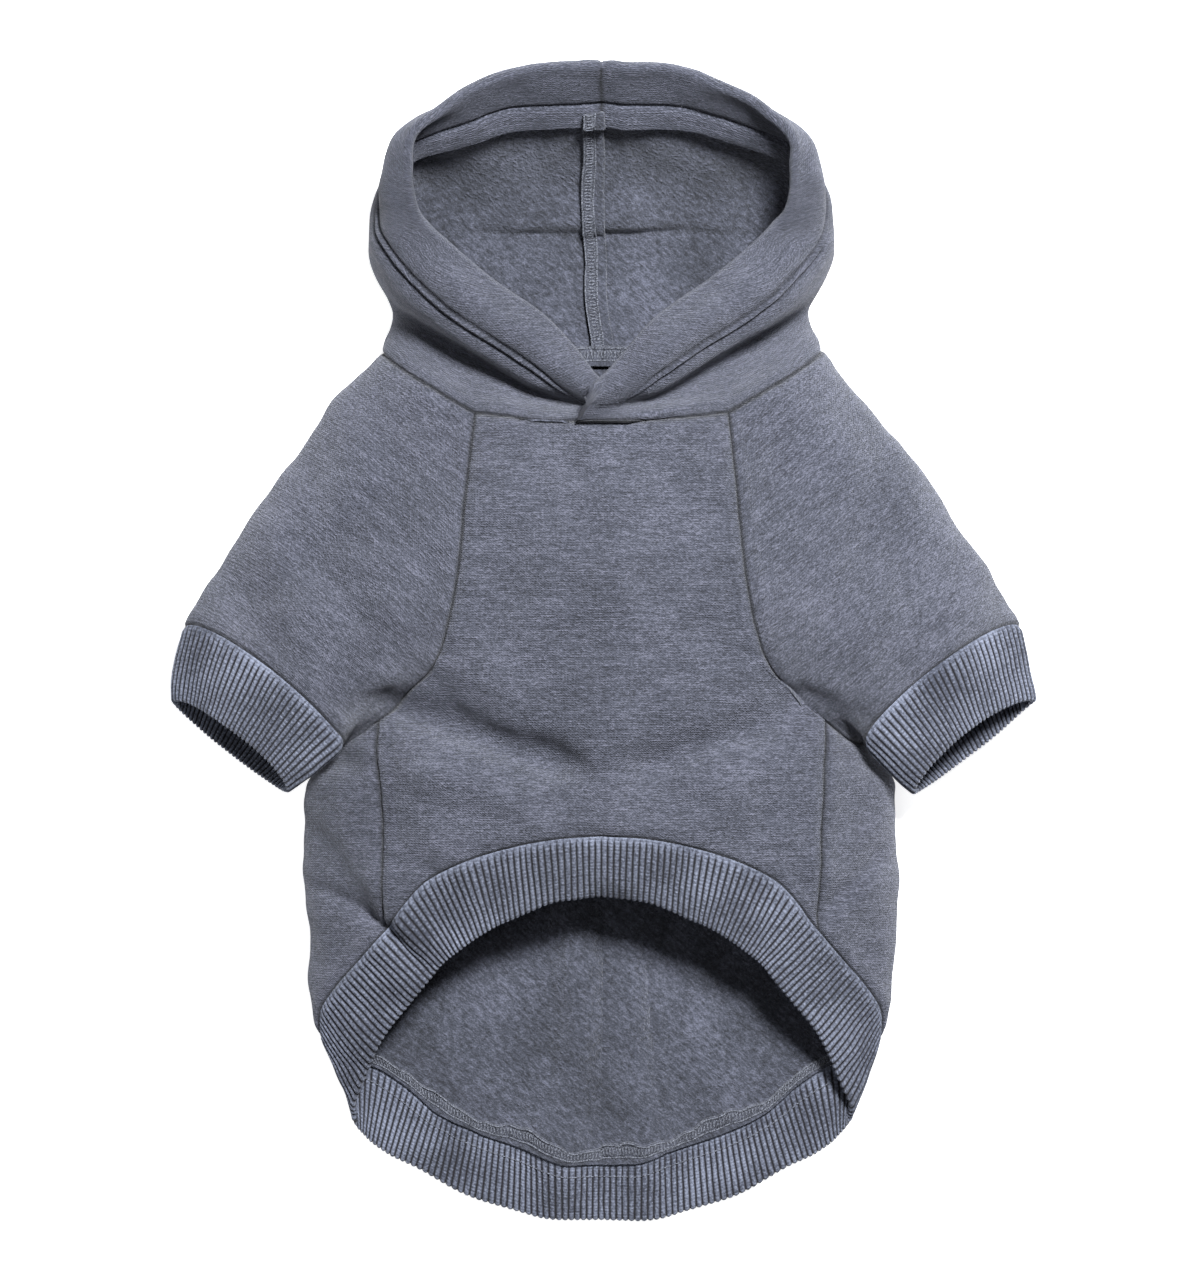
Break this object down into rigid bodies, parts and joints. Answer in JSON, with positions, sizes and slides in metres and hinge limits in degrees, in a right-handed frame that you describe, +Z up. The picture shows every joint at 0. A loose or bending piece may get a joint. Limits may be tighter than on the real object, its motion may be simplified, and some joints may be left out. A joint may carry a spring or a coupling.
{
  "type": "dog hoodie",
  "caption": "Small dog's fleece hoodie with raglan sleeves, ribbed cuffs and a ribbed hem band cut high at the belly, lying on its back with the hood open.",
  "frame": {"origin": "under the middle of the hoodie's bounding box, on the surface that its back lies on", "axes": "+Y from the back hem towards the top of the hood, +X towards the hoodie's edge on the viewer's right, +Z up from the surface that it lies on"},
  "size_m": [0.3638, 0.4855, 0.0645],
  "materials": {
    "fleece_jersey": "slate grey melange jersey face with a brushed fleece back",
    "rib_knit": "two by two rib knit, slate grey crowns and darker grooves",
    "overlock_seam": "seam edge bound in light grey overlock thread"
  },
  "bodies": {
    "root": {"front_panel": "fleece_jersey", "back_panel": "fleece_jersey", "sleeve_left": "fleece_jersey", "sleeve_right": "fleece_jersey", "hood_left": "fleece_jersey", "hood_right": "fleece_jersey", "cuff_left": "rib_knit", "cuff_right": "rib_knit", "hem_band": "rib_knit", "hood_seam_allowance": "overlock_seam", "neck_seam_allowance": "overlock_seam", "hem_seam_allowance": "overlock_seam"}
  },
  "joints": []
}
